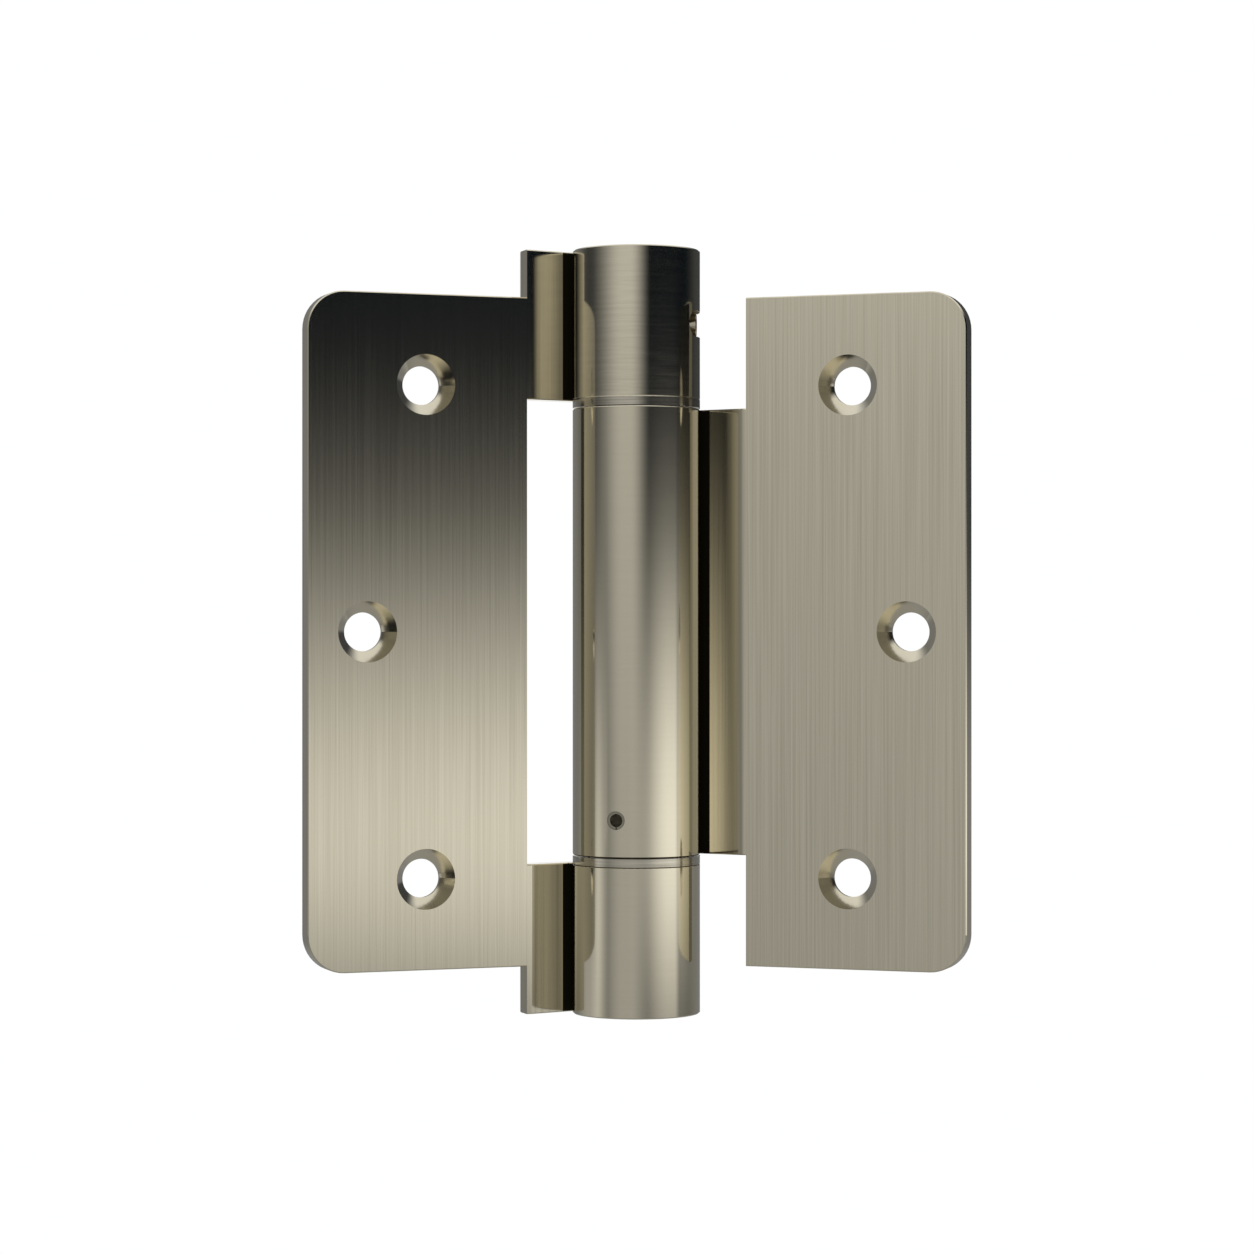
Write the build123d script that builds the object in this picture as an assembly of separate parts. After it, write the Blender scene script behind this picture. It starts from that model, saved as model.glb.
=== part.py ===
from build123d import *
import math
import os

os.makedirs("parts", exist_ok=True)

# A self-closing spring hinge for a door, folded and rolled from steel sheet.
# The origin is on the pin axis at mid height and +Z runs up the pin.
# The frame leaf lies along -X with its countersunk face towards -Y.
# The door leaf is drawn swung round the pin axis to the opening angle.
# All sizes are in millimetres and all angles in degrees.

# Barrel and leaf sheet
BARREL_LENGTH = 101.6
BARREL_RADIUS = 8.5
CENTRE_KNUCKLE_LENGTH = 59.4
KNUCKLE_GAP = 1.2
SHEET = 2.8
CLOSED_GAP = 5.9
OPENING_ANGLE = 140.0

# Leaf plates
LEAF_HEIGHT = 88.9
OPEN_WIDTH = 88.9
LEAF_CORNER_RADIUS = 5.0
BARREL_TO_LEAF = 5.9
BEND_MARGIN = 0.2
BEND_RADIUS = 1.5
ROLL_END_GAP = 0.3
EDGE_BREAK = 0.15

# Screw holes, set out from the edges of the leaf
SCREW_HOLE_RADIUS = 2.55
COUNTERSINK_RADIUS = 4.0
COUNTERSINK_DEPTH = 2.3
PAIR_HOLE_FROM_OUTER_EDGE = 16.05
PAIR_HOLE_FROM_END = 11.95
MIDDLE_HOLE_FROM_OUTER_EDGE = 8.1

# Fits
RUNNING_CLEARANCE = 0.05
SEAT_CLEARANCE = 0.02
AXIAL_CLEARANCE = 0.1
COIL_CLEARANCE = 0.35
COIL_SEAT_GAP = 0.3

# Tension plug, its slot and its locking pin
PLUG_RECESS = 0.6
PLUG_EDGE_BREAK = 0.4
PIN_HOLE_COUNT = 4
LOCKING_PIN_RADIUS = 1.5875
LOCKING_PIN_RECESS = 0.45
LOCKING_PIN_BREAK = 0.2
LOCKING_PIN_FROM_END = 9.9
LOCKING_PIN_ANGLE = -20.0
PIN_HOLE_FLOOR_RADIUS = 2.5
SLOT_CLEARANCE = 0.13
SLOT_TRAVEL = 23.4
HEX_SOCKET_FLATS = 3.97
HEX_SOCKET_DEPTH = 5.5

# Bearings
BUSH_WALL = 0.75
BUSH_LENGTH = 7.5
PINTLE_RADIUS = 3.0
PINTLE_END_GAP = 0.5
PINTLE_END_BREAK = 0.5

# Torsion spring and the slotted noses that hold its tangs
WIRE_RADIUS = 1.0
WIRE_SIDES = 8
COIL_GAP = 1.9
COIL_STEPS = 12
LEVEL_TURN = 0.25
BEND_STEPS = 3
TANG_BEND_RADIUS = 1.5
TANG_PAST_AXIS = 2.6
TANG_SLOT_CLEARANCE = 0.1
NOSE_CLEARANCE = 0.55
NOSE_PAST_TANG = 2.2

# Anchor plug and the split spring pin that keys it to the centre knuckle
ANCHOR_PLUG_LENGTH = 12.2
ANCHOR_PIN_RADIUS = 1.2
ANCHOR_PIN_WALL = 0.33
ANCHOR_PIN_SPLIT = 0.15
ANCHOR_PIN_FROM_END = 4.95
ANCHOR_PIN_RECESS = 0.15
ANCHOR_PIN_TURN = -89.2

# Sizes that follow from the ones above
BORE_RADIUS = BARREL_RADIUS - SHEET
BARREL_END = BARREL_LENGTH / 2
CENTRE_END = CENTRE_KNUCKLE_LENGTH / 2
OUTER_KNUCKLE_START = CENTRE_END + KNUCKLE_GAP
LEAF_SETBACK = CLOSED_GAP / 2
LEAF_REACH = OPEN_WIDTH / 2
LEAF_INNER = BARREL_RADIUS + BARREL_TO_LEAF
BEND_START = LEAF_INNER - BEND_MARGIN
DOOR_TURN = OPENING_ANGLE - 180
PLUG_RADIUS = BORE_RADIUS - RUNNING_CLEARANCE
FIXED_PLUG_RADIUS = BORE_RADIUS - SEAT_CLEARANCE
WASHER_THICKNESS = KNUCKLE_GAP - AXIAL_CLEARANCE
JOURNAL_RADIUS = FIXED_PLUG_RADIUS - BUSH_WALL - RUNNING_CLEARANCE
BUSH_BOTTOM = CENTRE_END - BUSH_LENGTH
JOURNAL_BOTTOM = BUSH_BOTTOM - AXIAL_CLEARANCE
ANCHOR_TOP = ANCHOR_PLUG_LENGTH - CENTRE_END
LOCKING_PIN_Z = BARREL_END - LOCKING_PIN_FROM_END
SLOT_RADIUS = LOCKING_PIN_RADIUS + SLOT_CLEARANCE
ANCHOR_PIN_Z = ANCHOR_PIN_FROM_END - CENTRE_END

# Coil and tang geometry
COIL_RADIUS = BORE_RADIUS - COIL_CLEARANCE - WIRE_RADIUS
COIL_TOP = JOURNAL_BOTTOM - COIL_SEAT_GAP - WIRE_RADIUS
COIL_BOTTOM = ANCHOR_TOP + COIL_SEAT_GAP + WIRE_RADIUS
COIL_TURNS = math.floor((COIL_TOP - COIL_BOTTOM) / (2 * WIRE_RADIUS + COIL_GAP))
NOSE_RADIUS = COIL_RADIUS - WIRE_RADIUS - NOSE_CLEARANCE
TANG_LEAN = math.degrees(math.asin(TANG_BEND_RADIUS / (COIL_RADIUS - TANG_BEND_RADIUS)))


def polar(radius, angle):
    """Point at a radius and an angle round the pin axis."""
    return Vector(
        radius * math.cos(math.radians(angle)), radius * math.sin(math.radians(angle))
    )


def turned(outline):
    """Solid of revolution about Z from (radius, z) points."""
    points = [(radius, 0, z) for radius, z in outline]
    return revolve(make_face(Polyline(points, close=True)), Axis.Z)


def radial_cylinder(radius, start, end, angle, z):
    """Cylinder that lies along a radius of the barrel, from start to end."""
    body = Cylinder(radius, end - start, align=(Align.CENTER, Align.CENTER, Align.MIN))
    return Rot(0, 0, angle) * Pos(start, 0, z) * Rot(0, 90, 0) * body


def broken_rims(solid, size):
    """Chamfer the outer and inner rims of both end faces of a round solid."""
    faces = solid.faces().filter_by(Axis.Z).sort_by(Axis.Z)
    rims = faces[0].edges() + faces[-1].edges()
    return chamfer(rims, size)


# Folded and rolled leaves

def bend_angle():
    """Angle of the tab to the plate at which its front face runs tangent to the bore."""
    centre_depth = LEAF_SETBACK + SHEET + BEND_RADIUS
    distance = math.hypot(BEND_START, centre_depth)
    tangent_offset = BARREL_RADIUS + BEND_RADIUS
    return math.degrees(
        math.asin(tangent_offset / distance) - math.atan2(centre_depth, BEND_START)
    )


def knuckle_outline():
    """Outline of a knuckle from above: flat, bend, tangent tab and the round barrel."""
    bend = bend_angle()
    root = 90 + bend
    open_arc = math.degrees(math.acos(BORE_RADIUS / BARREL_RADIUS))
    back = LEAF_SETBACK + SHEET
    bend_centre = Vector(-BEND_START, back + BEND_RADIUS)

    front_flat = Line((-LEAF_INNER, LEAF_SETBACK), (-BEND_START, LEAF_SETBACK))
    front_bend = CenterArc(bend_centre, BEND_RADIUS + SHEET, -90, bend)
    tab_front = Line(front_bend @ 1, polar(BARREL_RADIUS, root + open_arc))
    barrel = CenterArc((0, 0), BARREL_RADIUS, root + open_arc, 360 - open_arc)
    tab_back = Line(barrel @ 1, bend_centre + polar(BEND_RADIUS, bend - 90))
    back_bend = CenterArc(bend_centre, BEND_RADIUS, bend - 90, -bend)
    back_flat = Line(back_bend @ 1, (-LEAF_INNER, back))
    blank_edge = Line(back_flat @ 1, front_flat @ 0)
    return make_face([
        front_flat, front_bend, tab_front, barrel, tab_back, back_bend, back_flat, blank_edge,
    ])


def roll_gap():
    """Section of the gap between the end of the roll and the front of the tab."""
    root = 90 + bend_angle()
    opening = math.degrees(math.acos((BORE_RADIUS - ROLL_END_GAP) / BARREL_RADIUS))
    on_tab = BORE_RADIUS / math.cos(math.radians(opening))
    outline = [Vector(0, 0), polar(BORE_RADIUS, root), polar(on_tab, root + opening)]
    return make_face(Polyline(outline, close=True))


def knuckle(low, high):
    """One knuckle with its tab: the sheet is rolled round the bore and ends on the tab."""
    body = Pos(0, 0, low) * extrude(knuckle_outline(), high - low)
    ends = body.faces().filter_by(Axis.Z).sort_by(Axis.Z)
    rims = ends[0].edges() + ends[-1].edges()
    free_rims = rims.filter_by(lambda edge: edge.center().X > EDGE_BREAK - LEAF_INNER)
    body = chamfer(free_rims, EDGE_BREAK)
    hollow = Circle(BORE_RADIUS) + roll_gap()
    return body - Pos(0, 0, low) * extrude(hollow, high - low)


def plate():
    """Flat plate of a leaf, with rounded outer corners and its outer edges broken."""
    width = LEAF_REACH - LEAF_INNER
    blank = Pos(-LEAF_INNER - width / 2, LEAF_SETBACK + SHEET / 2, 0) * Box(
        width, SHEET, LEAF_HEIGHT
    )
    outer_corners = blank.edges().filter_by(Axis.Y).group_by(Axis.X)[0]
    blank = fillet(outer_corners, LEAF_CORNER_RADIUS)
    faces = blank.faces().filter_by(Axis.Y).sort_by(Axis.Y)
    rims = faces[0].edges() + faces[-1].edges()
    free_rims = rims.filter_by(lambda edge: edge.center().X < -LEAF_INNER - EDGE_BREAK)
    return chamfer(free_rims, EDGE_BREAK)


def screw_hole(reach, z):
    """Cutter for a countersunk screw hole at a distance from the pin axis."""
    above_plate = 2 * COUNTERSINK_RADIUS - SCREW_HOLE_RADIUS
    outline = [
        (0, LEAF_SETBACK - COUNTERSINK_DEPTH),
        (above_plate, LEAF_SETBACK - COUNTERSINK_DEPTH),
        (SCREW_HOLE_RADIUS, LEAF_SETBACK + COUNTERSINK_DEPTH),
        (SCREW_HOLE_RADIUS, LEAF_SETBACK + 2 * SHEET),
        (0, LEAF_SETBACK + 2 * SHEET),
    ]
    cutter = revolve(make_face(Polyline(outline, close=True)), Axis.Y)
    return Pos(-reach, 0, z) * cutter


def leaf(knuckle_spans):
    """Leaf that points along -X, with its knuckles at the given heights."""
    body = plate()
    for low, high in knuckle_spans:
        body += knuckle(low, high)
    pair_reach = LEAF_REACH - PAIR_HOLE_FROM_OUTER_EDGE
    pair_z = LEAF_HEIGHT / 2 - PAIR_HOLE_FROM_END
    body -= screw_hole(pair_reach, pair_z)
    body -= screw_hole(pair_reach, -pair_z)
    body -= screw_hole(LEAF_REACH - MIDDLE_HOLE_FROM_OUTER_EDGE, 0)
    return body


def locking_slot():
    """Cutter for the round-ended slot, with the locking pin's travel to both sides of it."""
    start = BORE_RADIUS / 2
    end = BARREL_RADIUS + SHEET
    section = Plane.XZ * Pos((start + end) / 2, LOCKING_PIN_Z) * Rectangle(
        end - start, 2 * SLOT_RADIUS
    )
    front_angle = LOCKING_PIN_ANGLE - SLOT_TRAVEL
    back_angle = LOCKING_PIN_ANGLE + SLOT_TRAVEL
    middle = Rot(0, 0, front_angle) * revolve(section, Axis.Z, back_angle - front_angle)
    front_end = radial_cylinder(SLOT_RADIUS, start, end, front_angle, LOCKING_PIN_Z)
    back_end = radial_cylinder(SLOT_RADIUS, start, end, back_angle, LOCKING_PIN_Z)
    return middle + back_end + front_end


def frame_leaf():
    """Leaf with the two end knuckles, and the slot in the upper one."""
    spans = [(OUTER_KNUCKLE_START, BARREL_END), (-BARREL_END, -OUTER_KNUCKLE_START)]
    return leaf(spans) - locking_slot()


def door_leaf():
    """Leaf with the centre knuckle, swung to the opening angle."""
    body = mirror(leaf([(-CENTRE_END, CENTRE_END)]), Plane.YZ)
    hole = radial_cylinder(
        ANCHOR_PIN_RADIUS + SEAT_CLEARANCE, 0, 2 * BARREL_RADIUS, ANCHOR_PIN_TURN, ANCHOR_PIN_Z
    )
    return Rot(0, 0, DOOR_TURN) * (body - hole)


# Plugs, bearings and pins inside the barrel

def slotted_nose(face_z, tang_z, angle):
    """Nose that stands from a plug face into the coil, cut across for the spring's tang."""
    direction = math.copysign(1, tang_z - face_z)
    tip = tang_z + direction * (WIRE_RADIUS + NOSE_PAST_TANG)
    nose = turned([(0, face_z), (NOSE_RADIUS, face_z), (NOSE_RADIUS, tip), (0, tip)])
    floor = tang_z - direction * (WIRE_RADIUS + TANG_SLOT_CLEARANCE)
    slot_length = 2 * NOSE_PAST_TANG + abs(tip - floor)
    slot = Box(2 * COIL_RADIUS, 2 * (WIRE_RADIUS + TANG_SLOT_CLEARANCE), slot_length)
    slot = Pos(0, 0, floor + direction * slot_length / 2) * slot
    return nose - Rot(0, 0, angle) * slot


def tension_plug():
    """Plug that sets the spring's tension: head, journal, slotted nose, hex socket, pin holes."""
    top = BARREL_END - PLUG_RECESS
    head_bottom = OUTER_KNUCKLE_START + AXIAL_CLEARANCE
    body = turned([
        (0, JOURNAL_BOTTOM), (JOURNAL_RADIUS, JOURNAL_BOTTOM),
        (JOURNAL_RADIUS, head_bottom), (PLUG_RADIUS, head_bottom),
        (PLUG_RADIUS, top - PLUG_EDGE_BREAK), (PLUG_RADIUS - PLUG_EDGE_BREAK, top),
        (0, top),
    ])
    socket = RegularPolygon(HEX_SOCKET_FLATS / 2, 6, major_radius=False)
    body -= Pos(0, 0, top - HEX_SOCKET_DEPTH) * extrude(socket, 2 * HEX_SOCKET_DEPTH)
    for index in range(PIN_HOLE_COUNT):
        angle = LOCKING_PIN_ANGLE + index * 360 / PIN_HOLE_COUNT
        body -= radial_cylinder(
            LOCKING_PIN_RADIUS + RUNNING_CLEARANCE,
            PIN_HOLE_FLOOR_RADIUS, BARREL_RADIUS, angle, LOCKING_PIN_Z,
        )
    return body + slotted_nose(JOURNAL_BOTTOM, COIL_TOP, -TANG_LEAN)


def locking_pin():
    """Pin that stands out of the tension plug into the slot."""
    start = PIN_HOLE_FLOOR_RADIUS + AXIAL_CLEARANCE
    end = BARREL_RADIUS - LOCKING_PIN_RECESS
    pin = Cylinder(
        LOCKING_PIN_RADIUS, end - start, align=(Align.CENTER, Align.CENTER, Align.MIN)
    )
    pin = broken_rims(pin, LOCKING_PIN_BREAK)
    return Rot(0, 0, LOCKING_PIN_ANGLE) * Pos(start, 0, LOCKING_PIN_Z) * Rot(0, 90, 0) * pin


def sleeve(inner, outer, low, high):
    """Ring or sleeve on the pin axis."""
    return turned([(inner, low), (outer, low), (outer, high), (inner, high)])


def upper_washer():
    """Thrust washer under the upper end knuckle."""
    bore = JOURNAL_RADIUS + RUNNING_CLEARANCE
    low = OUTER_KNUCKLE_START - WASHER_THICKNESS
    return sleeve(bore, BARREL_RADIUS, low, OUTER_KNUCKLE_START)


def lower_washer():
    """Thrust washer on the lower end knuckle."""
    bore = PINTLE_RADIUS + RUNNING_CLEARANCE
    high = WASHER_THICKNESS - OUTER_KNUCKLE_START
    return sleeve(bore, BARREL_RADIUS, -OUTER_KNUCKLE_START, high)


def upper_bush():
    """Bearing sleeve in the top of the centre knuckle, round the tension plug's journal."""
    bore = JOURNAL_RADIUS + RUNNING_CLEARANCE
    return sleeve(bore, bore + BUSH_WALL, BUSH_BOTTOM, CENTRE_END)


def lower_bush():
    """Bearing sleeve in the anchor plug, round the pintle."""
    bore = PINTLE_RADIUS + RUNNING_CLEARANCE
    top = BUSH_LENGTH - CENTRE_END
    return sleeve(bore, bore + BUSH_WALL, -CENTRE_END, top)


def anchor_plug():
    """Plug keyed in the centre knuckle, with a seat for the bush and a nose for the spring."""
    seat_radius = PINTLE_RADIUS + RUNNING_CLEARANCE + BUSH_WALL + SEAT_CLEARANCE
    seat_top = BUSH_LENGTH - CENTRE_END
    body = turned([
        (seat_radius, -CENTRE_END), (FIXED_PLUG_RADIUS, -CENTRE_END),
        (FIXED_PLUG_RADIUS, ANCHOR_TOP - PLUG_EDGE_BREAK),
        (FIXED_PLUG_RADIUS - PLUG_EDGE_BREAK, ANCHOR_TOP), (0, ANCHOR_TOP),
        (0, seat_top + SEAT_CLEARANCE), (seat_radius, seat_top + SEAT_CLEARANCE),
    ])
    body -= radial_cylinder(
        ANCHOR_PIN_RADIUS + SEAT_CLEARANCE, 0, BARREL_RADIUS,
        DOOR_TURN + ANCHOR_PIN_TURN, ANCHOR_PIN_Z,
    )
    return body + slotted_nose(ANCHOR_TOP, COIL_BOTTOM, TANG_LEAN)


def anchor_pin():
    """Split spring pin through the wall of the centre knuckle into the anchor plug."""
    bush_radius = PINTLE_RADIUS + RUNNING_CLEARANCE + BUSH_WALL
    start = bush_radius + AXIAL_CLEARANCE
    end = BARREL_RADIUS - ANCHOR_PIN_RECESS
    pin = radial_cylinder(ANCHOR_PIN_RADIUS, start, end, 0, 0)
    pin -= radial_cylinder(ANCHOR_PIN_RADIUS - ANCHOR_PIN_WALL, start, end, 0, 0)
    split = Pos(end, 0, -ANCHOR_PIN_RADIUS) * Box(
        2 * BARREL_RADIUS, ANCHOR_PIN_SPLIT, 2 * ANCHOR_PIN_RADIUS
    )
    angle = DOOR_TURN + ANCHOR_PIN_TURN
    return Rot(0, 0, angle) * Pos(0, 0, ANCHOR_PIN_Z) * (pin - split)


def lower_pintle():
    """Plug staked in the lower end knuckle, with the pintle that the door leaf turns on."""
    bottom = PLUG_RECESS - BARREL_END
    top = BUSH_LENGTH - CENTRE_END - PINTLE_END_GAP
    return turned([
        (0, bottom), (FIXED_PLUG_RADIUS - PLUG_EDGE_BREAK, bottom),
        (FIXED_PLUG_RADIUS, bottom + PLUG_EDGE_BREAK),
        (FIXED_PLUG_RADIUS, -OUTER_KNUCKLE_START),
        (PINTLE_RADIUS, -OUTER_KNUCKLE_START), (PINTLE_RADIUS, top - PINTLE_END_BREAK),
        (PINTLE_RADIUS - PINTLE_END_BREAK, top), (0, top),
    ])


# Torsion spring

def tang_points(end, heading, inward):
    """Points from the end of the coil, round the bend, to the tip of the tang."""
    centre = end + inward * TANG_BEND_RADIUS
    points = []
    for step in range(1, BEND_STEPS + 1):
        angle = math.radians(90 + TANG_LEAN) * step / BEND_STEPS
        outward = heading * math.sin(angle) - inward * math.cos(angle)
        points.append(centre + outward * TANG_BEND_RADIUS)
    along = heading * math.cos(angle) + inward * math.sin(angle)
    to_axis = math.sqrt((COIL_RADIUS - TANG_BEND_RADIUS) ** 2 - TANG_BEND_RADIUS ** 2)
    return points + [points[-1] + along * (to_axis + TANG_PAST_AXIS)]


def coil_points():
    """Points up the left-hand coil, which runs level for a stretch at each end."""
    points = []
    for step in range(COIL_TURNS * COIL_STEPS + 1):
        turn = step / COIL_STEPS
        rise = (turn - LEVEL_TURN) / (COIL_TURNS - 2 * LEVEL_TURN)
        rise = min(max(rise, 0), 1)
        z = COIL_BOTTOM + rise * (COIL_TOP - COIL_BOTTOM)
        points.append(polar(COIL_RADIUS, -360 * turn) + Vector(0, 0, z))
    return points


def torsion_spring():
    """Coil of wire whose two ends turn inwards and cross the pin axis."""
    coil = coil_points()
    inward = Vector(-1, 0)
    lower = tang_points(coil[0], Vector(0, 1), inward)
    upper = tang_points(coil[-1], Vector(0, -1), inward)
    path = Polyline(lower[::-1] + coil + upper)
    section = Plane(origin=path @ 0, z_dir=path % 0) * RegularPolygon(WIRE_RADIUS, WIRE_SIDES)
    return sweep(section, path, transition=Transition.RIGHT)


nodes = {
    "frame_leaf": frame_leaf(),
    "door_leaf": door_leaf(),
    "tension_plug": tension_plug(),
    "locking_pin": locking_pin(),
    "upper_washer": upper_washer(),
    "lower_washer": lower_washer(),
    "upper_bush": upper_bush(),
    "lower_bush": lower_bush(),
    "anchor_plug": anchor_plug(),
    "anchor_pin": anchor_pin(),
    "lower_pintle": lower_pintle(),
    "torsion_spring": torsion_spring(),
}

for name, solid in nodes.items():
    export_step(solid, f"parts/{name}.step")
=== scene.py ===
"""Looks of a self-closing spring hinge in satin nickel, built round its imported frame."""

import math

import bmesh
import bpy
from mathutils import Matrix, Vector


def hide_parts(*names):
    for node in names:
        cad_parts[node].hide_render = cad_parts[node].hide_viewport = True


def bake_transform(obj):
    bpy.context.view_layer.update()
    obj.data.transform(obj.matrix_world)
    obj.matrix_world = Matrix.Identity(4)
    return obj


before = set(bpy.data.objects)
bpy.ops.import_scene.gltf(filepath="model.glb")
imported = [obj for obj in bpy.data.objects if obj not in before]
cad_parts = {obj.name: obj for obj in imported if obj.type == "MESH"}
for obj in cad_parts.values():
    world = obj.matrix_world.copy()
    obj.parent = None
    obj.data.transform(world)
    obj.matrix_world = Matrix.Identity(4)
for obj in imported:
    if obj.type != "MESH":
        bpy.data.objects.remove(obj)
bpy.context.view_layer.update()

MM = 0.001


def past(size, start, end):
    """The range from start to end millimetres beyond a size."""
    return size + start * MM, size + end * MM


# Sizes of the hinge, as the frame has them
BARREL_RADIUS = 8.5 * MM
BORE_RADIUS = 5.7 * MM
LEAF_START = 14.4 * MM
LEAF_FRONT = 2.95 * MM
LEAF_BACK = 5.75 * MM
TAB_LEAN = math.radians(11.8)
DOOR_TURN = math.radians(-40)
CENTRE_END = 29.7 * MM
OUTER_START = 30.9 * MM
EDGE_BREAK = 0.12 * MM
COUNTERSINK_RADIUS = 4.0 * MM
SLOT_LEVEL = 40.9 * MM
SLOT_HALF = 3.0 * MM
ANCHOR_PIN_AZIMUTH = math.radians(-129.2)
ANCHOR_PIN_LEVEL = -24.75 * MM
ANCHOR_PIN_BORE = 0.87 * MM
SPRING_MIDDLE = 2.3 * MM

# Screw holes: how far from the pin axis, and how far above and below the middle
SCREW_HOLES = ((28.4 * MM, 32.5 * MM), (36.35 * MM, 0.0))

# Radii from the pin axis over which one finish of a leaf, or a painted shade, gives way to the
# next
SLOT_WALL_ENDS = past(BARREL_RADIUS, -0.06, -0.02)
CREVICE_SHADE_STARTS = past(BARREL_RADIUS, 0.02, 0.06)
BARREL_ENDS = past(BARREL_RADIUS, 0.05, 0.1)
CREVICE_SHADE_ENDS = past(BARREL_RADIUS, 1.311, 1.38)
FOLD_SHADE_STARTS = past(LEAF_START, -2.5, -1.5)
PLATE_STARTS = past(LEAF_START, -0.9, 0.0)
FOLD_SHADE_ENDS = past(LEAF_START, -0.3, -0.1)

# Depths and levels over which a finish or a painted shade starts or ends
LEAF_FRONT_ENDS = past(LEAF_FRONT, 0.01, 0.03)
LEAF_BACK_STARTS = past(LEAF_BACK, -0.03, -0.01)
TAB_FRONT_ENDS = past(BORE_RADIUS, 0.02, 0.06)
BEHIND_AXIS = past(0.0, 0.0, 1.0)
SLOT_ENDS = past(SLOT_HALF, 0.0, 0.3)
UPPER_HALF = past(0.0, -1.0, 1.0)
UPPER_KNUCKLE = (CENTRE_END, OUTER_START)
COUNTERSINK_ENDS = past(COUNTERSINK_RADIUS, 0.0, 0.1)
PIN_BORE_ENDS = past(ANCHOR_PIN_BORE, 0.0, 0.06)
LINE_FADE = 0.02 * MM

# The frame leaf's fold: the radii beside it that are kept flat, the line between
# tab and plate, how squarely a face there looks forwards, and the pull of its normal
FLAT_BESIDE_FOLD = past(LEAF_START, -1.4, 0.6)
FOLD_LINE = past(LEAF_START, -0.36, -0.32)
LOOKS_FORWARDS = (0.85, 0.9)
FLAT_PULL = 8.0

# How far the broken edges of the knuckles and tabs turn up or down, and how dark the painted
# shade lines at the lower joint are
OUTER_RIM_LIFT = 0.97
CENTRE_RIM_LIFT = 0.45
TAB_RIM_LIFT = math.sqrt(0.5)
LOW_LINE_PAINTED_SHADE = 0.45

# Camera: level, square to the hinge as it stands open
CAMERA_AZIMUTH = math.radians(-20.73)
CAMERA_DISTANCE = 441.8 * MM
CAMERA_LENS = 94.98
CAMERA_SHIFT = (-0.00743, 0.00388)
CAMERA_CLIP = (0.01, 20.0)

# Satin nickel and the metals inside
NICKEL_BRIGHT = (0.72, 0.666, 0.525)
NICKEL_DEEP = (0.48, 0.442, 0.33)
WASHER_BRIGHT = (0.6, 0.56, 0.46)
WASHER_DEEP = (0.38, 0.35, 0.28)
STEEL = (0.56, 0.55, 0.52)
STEEL_DEEP = (0.46, 0.45, 0.43)
# The locking pin's stripes run between these two: grinding lines, and painted highlight streaks
PIN_STEEL = (0.58, 0.53, 0.41)
PIN_DEEP = (0.2, 0.18, 0.12)
OILED_STEEL = (0.2, 0.19, 0.18)
OILED_DEEP = (0.12, 0.114, 0.108)
ACETAL = (0.85, 0.84, 0.8)
ACETAL_DEEP = (0.765, 0.756, 0.72)
ACETAL_IOR = 1.48

# Painted shade: the black line on a tab beside the barrel, the slot's wall in matt grey, and
# the anchor pin's greys, its rim painted darker for the shade of its hole
PAINTED_SHADE_BLACK = (0.007, 0.0058, 0.0028)
SLOT_SHADE_GREY = (0.19, 0.16, 0.1)
RIM_GREY = (0.3, 0.28, 0.22)
BORE_GREY = (0.5, 0.45, 0.34)

# Roughness, and for the last four what their marks add to it
LEAF_ROUGHNESS = 0.09
CUT_ROUGHNESS = 0.08
SINK_ROUGHNESS = 0.13
PLUG_ROUGHNESS = 0.24
WASHER_ROUGHNESS = 0.13
ANCHOR_PIN_ROUGHNESS = (0.12, 0.1)
LOCKING_PIN_ROUGHNESS = (0.08, 0.06)
OILED_ROUGHNESS = (0.24, 0.2)
ACETAL_ROUGHNESS = (0.4, 0.15)

# Marks: how often they repeat in a metre along x, y and z
FINE_GRAIN = (3700.0, 3700.0, 24.0)
BROAD_GRAIN = (1500.0, 1500.0, 14.0)
CUT_LINES = (300.0, 1500.0, 12.0)
STEEL_PATCHES = (260.0, 260.0, 260.0)
ANCHOR_PIN_MARKS = (2500.0, 900.0, 900.0)
LOCKING_PIN_LINES = (60.0, 60.0, 2400.0)
OIL_FILM = (700.0, 700.0, 420.0)
MOULDED_GRAIN = (3000.0, 3000.0, 3000.0)

# Rings: how often they repeat in a radian round the pin axis and in a metre out and up
BARREL_RINGS = (1.6, 1000.0, 3600.0)
LATHE_RINGS = (0.9, 4200.0, 4200.0)

# How deep the marks are
SATIN_DEPTH = 0.002 * MM
LOCKING_PIN_DEPTH = 0.01 * MM
OIL_DEPTH = 0.006 * MM
MOULDED_DEPTH = 0.008 * MM

# How strongly the leaves' marks show in colour, relief and roughness
FINE_SHARE, BROAD_SHARE = 0.94, 0.06
LOWER_RING_SHARE = 0.25
PLAIN_SHADE = 0.25
SHADE_RANGE = (-0.3, 1.0)
GRAIN_SHADE, RING_SHADE, CUT_SHADE = 1.35, 0.5, 1.6
GRAIN_RELIEF, RING_RELIEF = 0.1, 0.5
MARK_ROUGHNESS = 0.05
# Painted shade on the door leaf's fold
DOOR_FOLD_PAINTED_SHADE = 0.7

# How strongly the marks of the other metals show
LATHE_RING_SHARE, PATCH_SHARE = 0.7, 0.3
LATHE_RANGE = (0.25, 0.75)
LATHE_RING_ROUGHNESS, PATCH_ROUGHNESS = 0.12, 0.05
PIN_LINE_RANGE = (0.35, 0.65)
OIL_RANGE = (0.3, 0.7)

# The studio's directions: degrees to the right of the camera, and degrees up.
# The left card fills most of the front and gets brighter upwards
LEFT_CARD_STARTS = (-87, -24)
LEFT_CARD_ENDS = (-12, 26)
LEFT_CARD_LEVEL = 0.56
LEFT_CARD_PER_DEGREE = 0.01
LEFT_CARD_TOP = (3.5, 7)
LEFT_CARD_TOP_LEVEL = 0.1

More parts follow.
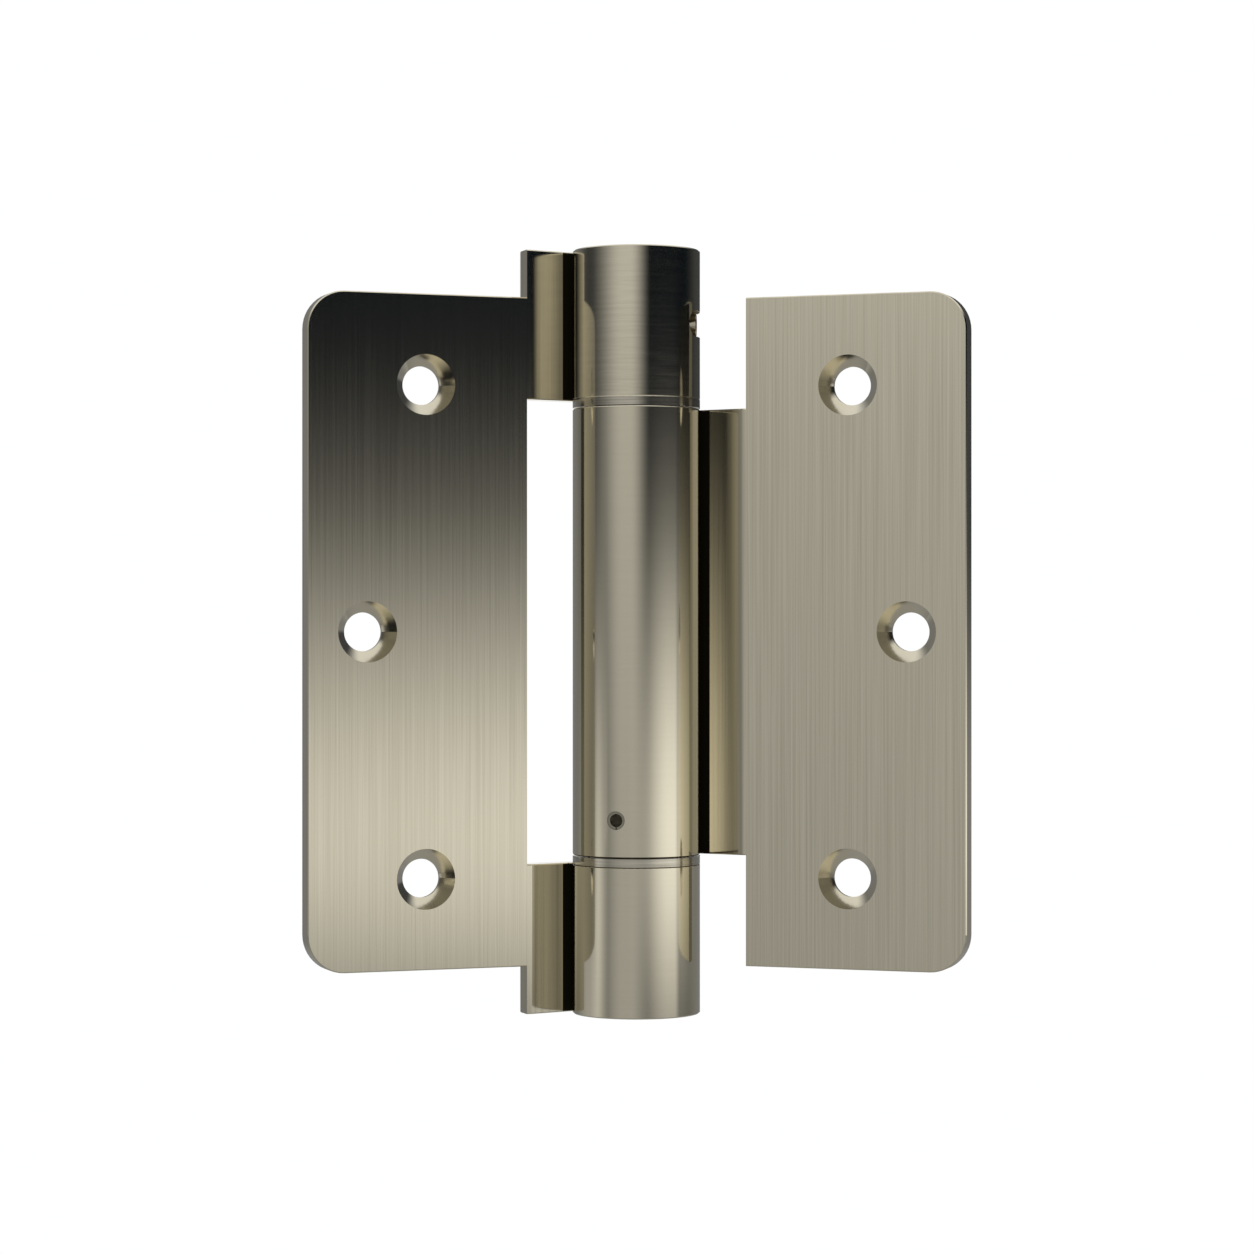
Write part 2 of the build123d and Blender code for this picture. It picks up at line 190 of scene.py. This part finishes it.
# The strip on the right is bright below and fades out upwards. Each fade has its share
STRIP_STARTS = (-16, 63)
STRIP_SIDE_FADES = ((0.6, 73, 86), (0.12, 86, 118))
STRIP_TOP_FADES = ((0.82, -4.0, 2.55), (0.18, 0, 5.2))
STRIP_FOOT = (-8, -3.3)
STRIP_FOOT_SHARE = 0.25
STRIP_LEVEL = 1.36

# The far left card shows in the barrel's left side
FAR_LEFT_STARTS = (-94, -80)
FAR_LEFT_START_SHARE = 0.8
FAR_LEFT_ENDS = (-80, -50)
FAR_LEFT_TOP = (-7, 4)
FAR_LEFT_LEVELS = (0.625, 0.065)

# A low band of light before that card
LOW_BAND_STARTS = (-82, -72)
LOW_BAND_ENDS = (-72, -48)
LOW_BAND_FOOT = (-8, -4)
LOW_BAND_TOP = (-4.5, 1.5)
LOW_BAND_LEVEL = 0.28

# The rest of the room
UNLIT_LEVEL = 0.004
REAR_STARTS = (95, 140)
REAR_MIDDLE = (-1, 1)
REAR_LEFT_LEVEL = 0.23
REAR_RIGHT_TOP = (-3, 2)
REAR_RIGHT_LEVELS = (0.25, 0.06)
BEHIND_STARTS = (171, 178)
CEILING_STARTS = (22, 50)
GROUND_ENDS = (-28, -9)
GROUND_LEVEL = 0.45

# Light that matt things get from the room, and the green and blue it has over red
MATT_LIGHT = 0.9
COOL_GREEN, COOL_BLUE = 0.003, 0.008

# Floor
FLOOR_DROP = 0.2
FLOOR_RADIUS = 0.5
FLOOR_SIDES = 96
FLOOR_COLOUR = (0.86, 0.86, 0.85)
FLOOR_SHADOW = 0.16
FLOOR_SHADOW_FADES = (0.15, FLOOR_RADIUS)
FLOOR_IN_METAL = 0.3

# How near two points of the spring's mesh have to be to count as one
SAME_POINT = 0.001 * MM

# Sockets of a Mix node: its two colours, and the colour that comes out
MIX_FIRST, MIX_SECOND, MIX_RESULT = 6, 7, 2


class Wire:
    """A socket of a node tree. Maths on wires adds the Math nodes that it needs."""

    def __init__(self, graph, socket):
        self.graph = graph
        self.socket = socket

    def math(self, operation, *values):
        """A Math node with these numbers or wires in its sockets."""
        sockets = dict(enumerate(values))
        return self.graph.add("ShaderNodeMath", {"operation": operation}, sockets)

    def __add__(self, other):
        return self.math("ADD", self, other)

    def __sub__(self, other):
        return self.math("SUBTRACT", self, other)

    def __mul__(self, other):
        return self.math("MULTIPLY", self, other)

    def __radd__(self, other):
        return self.math("ADD", other, self)

    def __rsub__(self, other):
        return self.math("SUBTRACT", other, self)

    def __rmul__(self, other):
        return self.math("MULTIPLY", other, self)

    def __abs__(self):
        return self.math("ABSOLUTE", self)

    def root(self):
        return self.math("SQRT", self)

    def sign(self):
        return self.math("SIGN", self)

    def arcsine(self):
        return self.math("ARCSINE", self)

    def arctan2(self, other):
        return self.math("ARCTAN2", self, other)

    def larger(self, other):
        return self.math("MAXIMUM", self, other)

    def rise(self, low, high, start=0.0, end=1.0):
        """Start below low, end above high, and smooth between."""
        sockets = {"Value": self, "From Min": low, "From Max": high}
        sockets.update({"To Min": start, "To Max": end})
        settings = {"interpolation_type": "SMOOTHSTEP"}
        return self.graph.add("ShaderNodeMapRange", settings, sockets)

    def fall(self, low, high):
        """1 below low, 0 above high, and smooth between."""
        return self.rise(low, high, 1.0, 0.0)

    def between(self, low, high):
        """1 from low to high, and 0 a little outside them."""
        return self.rise(low - LINE_FADE, low) * self.fall(high, high + LINE_FADE)

    def fading(self, *fades):
        """1, less the share of each fade above its range."""
        kept = 1.0
        for share, low, high in fades:
            kept = kept - share * self.rise(low, high)
        return kept

    def toward(self, other, share):
        """This number, moved towards another by a share of the way."""
        return self + (other - self) * share


def as_colour(colour):
    """What a colour socket takes: a wire, or red, green and blue made opaque."""
    return colour if isinstance(colour, Wire) else (*colour, 1.0)


class Graph:
    """A node tree, emptied and built afresh."""

    def __init__(self, tree):
        self.tree = tree
        tree.nodes.clear()

    def add(self, kind, settings=None, sockets=None, out=0):
        """Makes a node from its settings and its sockets' values or wires."""
        node = self.tree.nodes.new(kind)
        for name, value in (settings or {}).items():
            setattr(node, name, value)
        for name, value in (sockets or {}).items():
            if isinstance(value, Wire):
                self.tree.links.new(value.socket, node.inputs[name])
            else:
                node.inputs[name].default_value = value
        return Wire(self, node.outputs[out]) if node.outputs else None

    def axes(self, vector):
        """The three numbers of a vector."""
        parts = self.add("ShaderNodeSeparateXYZ", sockets={"Vector": vector}).socket.node
        return [Wire(self, parts.outputs[name]) for name in "XYZ"]

    def vector(self, x, y, z):
        return self.add("ShaderNodeCombineXYZ", sockets={"X": x, "Y": y, "Z": z})

    def place(self, turn=0.0, kind="Object"):
        """A point on the hinge or a direction, with a turn about the pin axis taken off."""
        point = self.add("ShaderNodeTexCoord", out=kind)
        turned = {"Vector": point, "Rotation": (0.0, 0.0, -turn)}
        return self.axes(self.add("ShaderNodeMapping", sockets=turned))

    def facing(self):
        """The direction in which the surface faces."""
        return self.add("ShaderNodeNewGeometry", out="Normal")

    def noise(self, place, repeats, detail=2.0, roughness=0.5):
        """Soft noise from 0 to 1, which repeats as often along each number of a place."""
        scaled = [part * often for part, often in zip(place, repeats)]
        sockets = {"Vector": self.vector(*scaled), "Scale": 1.0}
        sockets.update({"Detail": detail, "Roughness": roughness})
        return self.add("ShaderNodeTexNoise", sockets=sockets)

    def colours(self, share, first, second):
        """The first colour where share is 0, and the second where it is 1."""
        sockets = {0: share, MIX_FIRST: as_colour(first), MIX_SECOND: as_colour(second)}
        return self.add("ShaderNodeMix", {"data_type": "RGBA"}, sockets, out=MIX_RESULT)

    def bump(self, height, depth, pull=None):
        """Normals of a rough surface, first pulled towards a vector where it is given."""
        sockets = {"Height": height, "Distance": depth, "Strength": 1.0}
        if pull:
            both = {0: self.facing(), 1: pull}
            pulled = self.add("ShaderNodeVectorMath", {"operation": "ADD"}, both)
            settings = {"operation": "NORMALIZE"}
            sockets["Normal"] = self.add("ShaderNodeVectorMath", settings, {0: pulled})
        return self.add("ShaderNodeBump", sockets=sockets)

    def metal(self, colour, roughness, normal):
        sockets = {"Base Color": colour, "Roughness": roughness, "Normal": normal}
        sockets["Metallic"] = 1.0
        return self.add("ShaderNodeBsdfPrincipled", sockets=sockets)

    def matt(self, colour):
        return self.add("ShaderNodeBsdfDiffuse", sockets={"Color": as_colour(colour)})

    def mixed(self, share, first, second):
        """The first shader where share is 0, and the second where it is 1."""
        return self.add("ShaderNodeMixShader", sockets={0: share, 1: first, 2: second})

    def surface(self, shader):
        self.add("ShaderNodeOutputMaterial", sockets={"Surface": shader})


def new_material(name):
    """A material, and the graph to build it with."""
    material = bpy.data.materials.new(name)
    material.use_nodes = True
    return material, Graph(material.node_tree)


def distance(x, y):
    """How far a point is from the axis that x and y are measured from."""
    return (x * x + y * y).root()


def varied(roughness, marks):
    """The least roughness, and what the marks add to it."""
    least, added = roughness
    return least + marks * added


def countersinks(across, up):
    """1 inside the rims of the screw holes, and 0 elsewhere."""
    inside = []
    for reach, level in SCREW_HOLES:
        inside.append(distance(across - reach, up - level).fall(*COUNTERSINK_ENDS))
    return inside[0].larger(inside[1])


def tab_crevice_shade(x, y, radius):
    """1 on the painted shade, a black line where a tab meets the barrel, and 0 elsewhere."""
    tab_depth = abs(x) * math.sin(TAB_LEAN) + y * math.cos(TAB_LEAN)
    crevice_shade_band = radius.rise(*CREVICE_SHADE_STARTS) * radius.fall(*CREVICE_SHADE_ENDS)
    return tab_depth.fall(*TAB_FRONT_ENDS) * crevice_shade_band * y.rise(*BEHIND_AXIS)


def broken_edges(z, barrel, plate):
    """How far the knuckles' and tabs' edges turn upwards, and the lower joint's lines of
    painted shade.
    """
    outer_rim = abs(z).between(OUTER_START, OUTER_START + EDGE_BREAK)
    centre_rim = abs(z).between(CENTRE_END - EDGE_BREAK, CENTRE_END)
    upper = z.rise(*UPPER_HALF)
    tab = (1.0 - barrel) * (1.0 - plate)
    lift = (outer_rim * OUTER_RIM_LIFT - centre_rim * CENTRE_RIM_LIFT) * barrel * upper
    lift = lift - centre_rim * tab * z.sign() * TAB_RIM_LIFT
    lines = (outer_rim + centre_rim) * barrel * (1.0 - upper) * LOW_LINE_PAINTED_SHADE
    return lift, lines


def flat_beside_fold(graph, radius):
    """A pull that keeps the tab and the plate flat up to the line of the fold."""
    forwards = 0.0 - graph.axes(graph.facing())[1]
    pull = forwards.rise(*LOOKS_FORWARDS) * radius.between(*FLAT_BESIDE_FOLD) * FLAT_PULL
    tab_pull = pull * radius.fall(*FOLD_LINE)
    return tab_pull * math.sin(TAB_LEAN), pull * -math.cos(TAB_LEAN)


def leaf_nickel(name, turn, painted_fold_shade=0.0, sharp_fold=False):
    """Satin nickel: upright grain on the plate, polished cuts and a smooth barrel, with painted
    shade in each tab's crevice, on the slot's wall, along the lower joint and on the door's
    fold.
    """
    material, graph = new_material(name)
    x, y, z = graph.place(turn)
    radius = distance(x, y)
    plate = radius.rise(*PLATE_STARTS)
    barrel = radius.fall(*BARREL_ENDS)
    cut = plate * y.rise(*LEAF_FRONT_ENDS) * y.fall(*LEAF_BACK_STARTS)
    sink = countersinks(abs(x), abs(z))
    # Painted shade: the slot's wall gets a matt dark grey in place of its metal
    shaded_slot_wall = abs(z - SLOT_LEVEL).fall(*SLOT_ENDS) * radius.fall(*SLOT_WALL_ENDS)

    fine = graph.noise((x, y, z), FINE_GRAIN, detail=3.0, roughness=0.6)
    broad = graph.noise((x, y, z), BROAD_GRAIN)
    grain = fine * FINE_SHARE + broad * BROAD_SHARE - 0.5
    grain = grain * (1.0 - barrel) * (1.0 - cut)
    cut_marks = (graph.noise((x, y, z), CUT_LINES) - 0.5) * cut * (1.0 - sink)
    rings = graph.noise((y.arctan2(x), radius, z), BARREL_RINGS, detail=3.0) - 0.5
    rings = rings * barrel * z.rise(*UPPER_KNUCKLE, start=LOWER_RING_SHARE)

    roughness = LEAF_ROUGHNESS + (CUT_ROUGHNESS - LEAF_ROUGHNESS) * cut * (1.0 - sink)
    roughness = roughness + (SINK_ROUGHNESS - LEAF_ROUGHNESS) * cut * sink
    roughness = roughness + grain * MARK_ROUGHNESS + rings * MARK_ROUGHNESS

    shade = PLAIN_SHADE - grain * GRAIN_SHADE - rings * RING_SHADE - cut_marks * CUT_SHADE
    shade = shade.rise(*SHADE_RANGE)
    # Painted shade: the door leaf's fold is darkened in its colour
    if painted_fold_shade:
        shade = shade + radius.rise(*FOLD_SHADE_STARTS) * radius.fall(*FOLD_SHADE_ENDS) * painted_fold_shade
    lift, lines = broken_edges(z, barrel, plate)
    colour = graph.colours(shade, NICKEL_BRIGHT, NICKEL_DEEP)
    # Painted shade: dark lines along the lower joint's broken edges
    colour = graph.colours(lines, colour, PAINTED_SHADE_BLACK)

    height = grain * GRAIN_RELIEF + rings * RING_RELIEF + cut_marks
    pull = flat_beside_fold(graph, radius) if sharp_fold else (0.0, 0.0)
    normal = graph.bump(height, SATIN_DEPTH, graph.vector(*pull, lift))
    bare = graph.metal(colour, roughness, normal)
    # Painted shade: matt black in the crevice beside each tab, matt grey on the slot's wall
    shadow = graph.matt(graph.colours(shaded_slot_wall, PAINTED_SHADE_BLACK, SLOT_SHADE_GREY))
    dark = tab_crevice_shade(x, y, radius).larger(shaded_slot_wall)
    graph.surface(graph.mixed(dark, bare, shadow))
    return material


def turned_metal(name, first, second, roughness):
    """Metal with the fine rings that a lathe leaves round the pin axis."""
    material, graph = new_material(name)
    x, y, z = graph.place()
    rings = graph.noise((y.arctan2(x), distance(x, y), z), LATHE_RINGS, detail=3.0)
    patches = graph.noise((x, y, z), STEEL_PATCHES)
    shade = (rings * LATHE_RING_SHARE + patches * PATCH_SHARE).rise(*LATHE_RANGE)
    colour = graph.colours(shade, first, second)
    roughness = roughness + (rings - 0.5) * LATHE_RING_ROUGHNESS
    roughness = roughness + (patches - 0.5) * PATCH_ROUGHNESS
    graph.surface(graph.metal(colour, roughness, graph.bump(rings, SATIN_DEPTH)))
    return material


def anchor_pin_steel():
    """Split spring pin: a grey rim round a dull bore, the rim painted darker for the shade of
    its hole.
    """
    material, graph = new_material("anchor_pin_steel")
    x, y, z = graph.place(ANCHOR_PIN_AZIMUTH)
    bore = distance(y, z - ANCHOR_PIN_LEVEL).fall(*PIN_BORE_ENDS)
    marks = graph.noise((x, y, z), ANCHOR_PIN_MARKS)
    colour = graph.colours(bore, RIM_GREY, BORE_GREY)
    normal = graph.bump(marks, SATIN_DEPTH)
    graph.surface(graph.metal(colour, varied(ANCHOR_PIN_ROUGHNESS, marks), normal))
    return material


def locking_pin_steel():
    """Ground pin with fine lines along its length; their light and dark stripes are also
    painted highlight streaks.
    """
    material, graph = new_material("locking_pin_steel")
    lines = graph.noise(graph.place(), LOCKING_PIN_LINES, detail=1.0)
    colour = graph.colours(lines.rise(*PIN_LINE_RANGE), PIN_STEEL, PIN_DEEP)
    normal = graph.bump(lines, LOCKING_PIN_DEPTH)
    graph.surface(graph.metal(colour, varied(LOCKING_PIN_ROUGHNESS, lines), normal))
    return material


def oiled_spring_steel():
    """Dark drawn wire with a thin film of oil."""
    material, graph = new_material("oiled_spring_steel")
    film = graph.noise(graph.place(), OIL_FILM, detail=3.0)
    colour = graph.colours(film.rise(*OIL_RANGE), OILED_STEEL, OILED_DEEP)
    normal = graph.bump(film, OIL_DEPTH)
    graph.surface(graph.metal(colour, varied(OILED_ROUGHNESS, film), normal))
    return material


def moulded_acetal():
    """Off-white bearing plastic with a faint moulded texture."""
    material, graph = new_material("moulded_acetal")
    grain = graph.noise(graph.place(), MOULDED_GRAIN)
    sockets = {
        "Base Color": graph.colours(grain, ACETAL, ACETAL_DEEP),
        "Roughness": varied(ACETAL_ROUGHNESS, grain),
        "Normal": graph.bump(grain, MOULDED_DEPTH),
        "IOR": ACETAL_IOR,
    }
    graph.surface(graph.add("ShaderNodeBsdfPrincipled", sockets=sockets))
    return material


def dress_nodes():
    """Gives each node that keeps its mesh its finish, by its material slots."""
    plug = turned_metal("turned_steel", STEEL, STEEL_DEEP, PLUG_ROUGHNESS)
    washer = turned_metal("turned_nickel", WASHER_BRIGHT, WASHER_DEEP, WASHER_ROUGHNESS)
    acetal = moulded_acetal()
    finishes = {
        "frame_leaf": leaf_nickel("frame_leaf_nickel", 0.0, sharp_fold=True),
        "door_leaf": leaf_nickel("door_leaf_nickel", DOOR_TURN, DOOR_FOLD_PAINTED_SHADE),
        "tension_plug": plug,
        "anchor_plug": plug,
        "lower_pintle": plug,
        "locking_pin": locking_pin_steel(),
        "anchor_pin": anchor_pin_steel(),
        "upper_washer": washer,
        "lower_washer": washer,
        "upper_bush": acetal,
        "lower_bush": acetal,
    }
    for node, material in finishes.items():
        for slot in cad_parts[node].material_slots:
            slot.material = material


def spring_half(name, kept_side, steel):
    """The torsion spring's coil above or below its middle, closed where it is cut."""
    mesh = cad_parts["torsion_spring"].data.copy()
    mesh.name = name
    half = bmesh.new()
    half.from_mesh(mesh)
    bmesh.ops.remove_doubles(half, verts=half.verts, dist=SAME_POINT)
    bmesh.ops.bisect_plane(
        half,
        geom=half.verts[:] + half.edges[:] + half.faces[:],
        plane_co=(0.0, 0.0, SPRING_MIDDLE),
        plane_no=(0.0, 0.0, -kept_side),
        clear_outer=True,
    )
    open_edges = [edge for edge in half.edges if edge.is_boundary]
    bmesh.ops.holes_fill(half, edges=open_edges)
    half.to_mesh(mesh)
    half.free()
    mesh.materials.clear()
    mesh.materials.append(steel)
    spring = bpy.data.objects.new(name, mesh)
    bpy.context.scene.collection.objects.link(spring)
    return spring


def winding_spring():
    """The torsion spring, cut at its middle into a lower and an upper half."""
    steel = oiled_spring_steel()
    lower = spring_half("torsion_spring_lower_half", -1.0, steel)
    upper = spring_half("torsion_spring_upper_half", 1.0, steel)
    for half in (lower, upper):
        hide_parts("torsion_spring")
    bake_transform(lower)
    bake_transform(upper)


def backdrop_rays(graph):
    """The rays that show the backdrop: to the camera, in metal and through glass."""
    rays = graph.add("ShaderNodeLightPath").socket.node
    kinds = ("Is Camera Ray", "Is Glossy Ray", "Is Transmission Ray")
    return [Wire(graph, rays.outputs[kind]) for kind in kinds]


def room_in_metal(across, height):
    """How bright the room is in each direction, as the metal shows it."""
    left_card = LEFT_CARD_LEVEL + LEFT_CARD_PER_DEGREE * height
    left_card = left_card + LEFT_CARD_TOP_LEVEL * height.rise(*LEFT_CARD_TOP)
    left_card = left_card * across.rise(*LEFT_CARD_STARTS) * across.fall(*LEFT_CARD_ENDS)

    strip = across.rise(*STRIP_STARTS) * across.fading(*STRIP_SIDE_FADES)
    strip = strip * height.fading(*STRIP_TOP_FADES)
    strip = strip * height.rise(*STRIP_FOOT, start=STRIP_FOOT_SHARE) * STRIP_LEVEL

    far_left = across.rise(*FAR_LEFT_STARTS, start=FAR_LEFT_START_SHARE)
    far_left = far_left * across.fall(*FAR_LEFT_ENDS)
    far_left = far_left * height.rise(*FAR_LEFT_TOP, *FAR_LEFT_LEVELS)

    low_band = across.rise(*LOW_BAND_STARTS) * across.fall(*LOW_BAND_ENDS)
    low_band = low_band * height.rise(*LOW_BAND_FOOT) * height.fall(*LOW_BAND_TOP)
    front = left_card + strip + far_left + low_band * LOW_BAND_LEVEL + UNLIT_LEVEL

    rear = height.rise(*REAR_RIGHT_TOP, *REAR_RIGHT_LEVELS)
    rear = rear.toward(REAR_LEFT_LEVEL, across.fall(*REAR_MIDDLE))
    room = front.toward(rear, abs(across).rise(*REAR_STARTS))
    room = room.toward(1.0, abs(across).rise(*BEHIND_STARTS))
    room = room.toward(1.0, height.rise(*CEILING_STARTS))
    return room.toward(GROUND_LEVEL, height.fall(*GROUND_ENDS))


def studio():
    """A white studio with soft cards, which only the metal shows."""
    world = bpy.data.worlds.new("studio")
    bpy.context.scene.world = world
    world.use_nodes = True
    graph = Graph(world.node_tree)
    x, y, z = graph.place(CAMERA_AZIMUTH, "Generated")
    across = x.arctan2(0.0 - y) * math.degrees(1)
    height = z.arcsine() * math.degrees(1)

    camera, glossy, through = backdrop_rays(graph)
    light = MATT_LIGHT + (room_in_metal(across, height) - MATT_LIGHT) * glossy
    light = light.toward(1.0, camera.larger(through))
    cool = graph.vector(light, light + COOL_GREEN, light + COOL_BLUE)
    background = graph.add("ShaderNodeBackground", sockets={"Color": cool, "Strength": 1.0})
    graph.add("ShaderNodeOutputWorld", sockets={"Surface": background})


def pale_floor():
    """A round white floor below the hinge. It keeps the soft shadow."""
    corners = []
    for step in range(FLOOR_SIDES):
        angle = math.tau * step / FLOOR_SIDES
        out = Vector((math.cos(angle), math.sin(angle), 0.0)) * FLOOR_RADIUS
        corners.append(out - Vector((0.0, 0.0, FLOOR_DROP)))
    mesh = bpy.data.meshes.new("floor")
    mesh.from_pydata(corners, [], [range(FLOOR_SIDES)])
    floor = bpy.data.objects.new("floor", mesh)
    bpy.context.scene.collection.objects.link(floor)

    material, graph = new_material("pale_floor")
    x, y, _ = graph.place()
    camera, glossy, through = backdrop_rays(graph)
    white = camera.larger(glossy).larger(through)
    share = white * (1.0 - FLOOR_SHADOW * distance(x, y).fall(*FLOOR_SHADOW_FADES))
    level = 1.0 - (1.0 - FLOOR_IN_METAL) * glossy
    glow = graph.add("ShaderNodeEmission", sockets={"Color": graph.vector(level, level, level)})
    graph.surface(graph.mixed(share, graph.matt(FLOOR_COLOUR), glow))
    mesh.materials.append(material)


def camera_at_photo():
    """The camera, where the photo was taken from."""
    data = bpy.data.cameras.new("camera")
    data.lens = CAMERA_LENS
    data.shift_x, data.shift_y = CAMERA_SHIFT
    data.clip_start, data.clip_end = CAMERA_CLIP
    camera = bpy.data.objects.new("camera", data)
    bpy.context.scene.collection.objects.link(camera)
    back = Vector((math.sin(CAMERA_AZIMUTH), -math.cos(CAMERA_AZIMUTH), 0.0))
    camera.location = back * CAMERA_DISTANCE
    camera.rotation_mode = "QUATERNION"
    camera.rotation_quaternion = (-back).to_track_quat("-Z", "Y")
    bpy.context.scene.camera = camera


dress_nodes()
winding_spring()
studio()
pale_floor()
camera_at_photo()
bpy.context.scene.view_settings.view_transform = "Standard"
